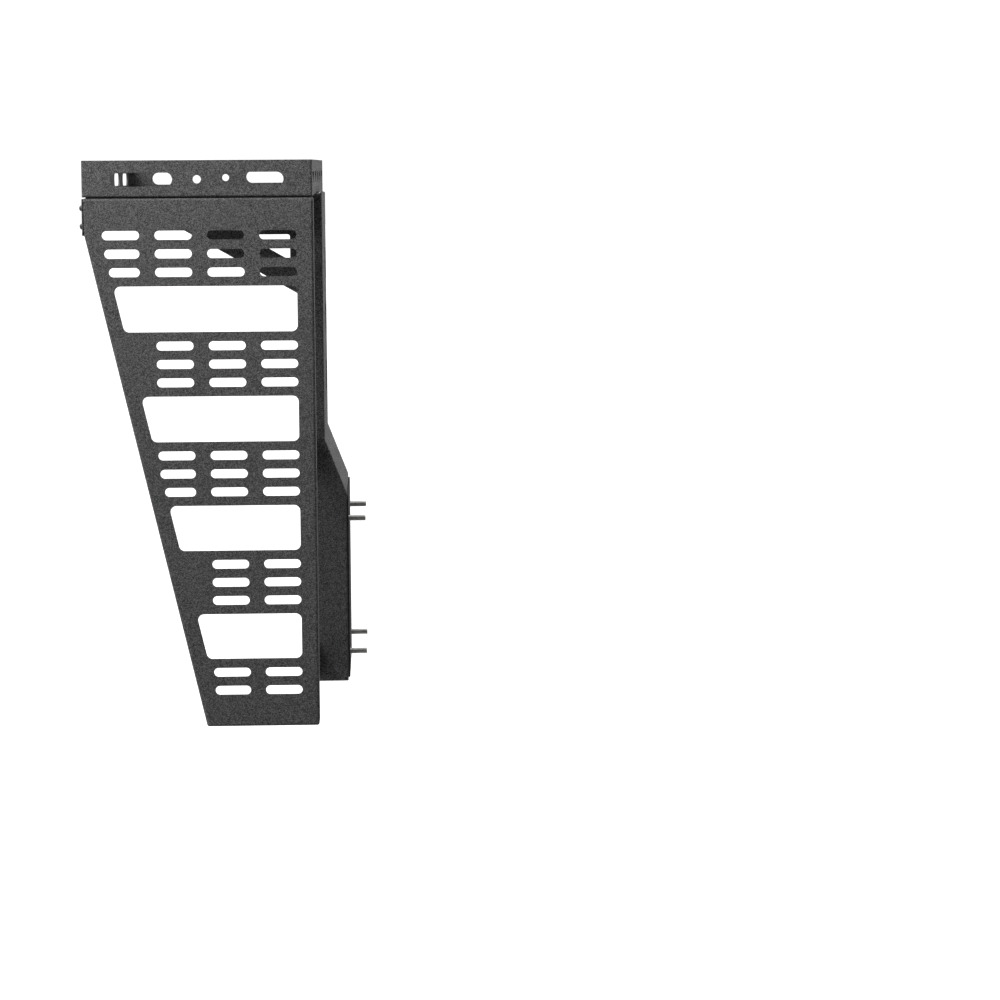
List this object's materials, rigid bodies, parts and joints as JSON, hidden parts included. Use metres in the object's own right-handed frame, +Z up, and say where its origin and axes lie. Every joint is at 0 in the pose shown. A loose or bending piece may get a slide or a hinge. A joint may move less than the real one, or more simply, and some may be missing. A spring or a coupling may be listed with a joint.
{
  "type": "tailgate spare tire carrier rack",
  "caption": "Tailgate-mounted carrier of folded black sheet steel: slotted mast with a wheel plate, top luggage tray and a tapered slotted side panel.",
  "frame": {"origin": "middle of the four tailgate bolts, on the face of the gasket that meets the tailgate", "axes": "+X forwards into the tailgate, +Y towards the side without the panel, +Z up"},
  "size_m": [0.4629, 0.93, 0.943],
  "materials": {
    "black_powder_coat": "fine-textured satin black powder coat",
    "black_fastener": "black-coated steel, semi-gloss",
    "zinc_steel": "zinc-plated steel",
    "rubber": "matte"
  },
  "bodies": {
    "carrier_frame": {"brace_mast_bolts": "black_fastener", "brace_mast_nuts": "zinc_steel", "brace_panel_bolts": "black_fastener", "brace_panel_nuts": "zinc_steel", "brace_spacers": "zinc_steel", "far_hanger": "black_powder_coat", "gusset_far": "black_powder_coat", "gusset_mast_bolts": "black_fastener", "gusset_mast_nuts": "zinc_steel", "gusset_near": "black_powder_coat", "gusset_spacers": "black_powder_coat", "gusset_tray_bolts": "black_fastener", "gusset_tray_nuts": "zinc_steel", "lower_brace": "black_powder_coat", "mast_back_plate": "black_powder_coat", "mast_channel": "black_powder_coat", "mast_foot_cap": "black_powder_coat", "mast_rib_1": "black_powder_coat", "mast_rib_2": "black_powder_coat", "mast_rib_3": "black_powder_coat", "mast_top_cap": "black_powder_coat", "middle_brace": "black_powder_coat", "mount_backing_plate": "black_powder_coat", "panel_top_seal": "rubber", "rear_cross_bolts": "black_fastener", "rear_cross_nuts": "zinc_steel", "rear_cross_plate": "black_powder_coat", "side_panel": "black_powder_coat", "tailgate_bolts": "zinc_steel", "tailgate_gasket": "rubber", "tailgate_washers": "zinc_steel", "tray_far_rail": "black_powder_coat", "tray_floor": "black_powder_coat", "tray_front_plate": "black_powder_coat", "tray_near_rail": "black_powder_coat", "tray_nuts": "zinc_steel", "tray_rear_plate": "black_powder_coat", "tray_screws": "black_fastener", "tray_spine": "black_powder_coat", "upper_brace": "black_powder_coat"},
    "wheel_mount": {"wheel_plate": "black_powder_coat", "wheel_plate_bolts": "black_fastener", "wheel_plate_nuts": "zinc_steel", "wheel_plate_washers": "zinc_steel"}
  },
  "joints": [
    {"name": "wheel_height_slide", "type": "slide", "parent": "carrier_frame", "child": "wheel_mount", "axis": [0, 0, 1], "range_m": [-0.04, 0.04]}
  ]
}
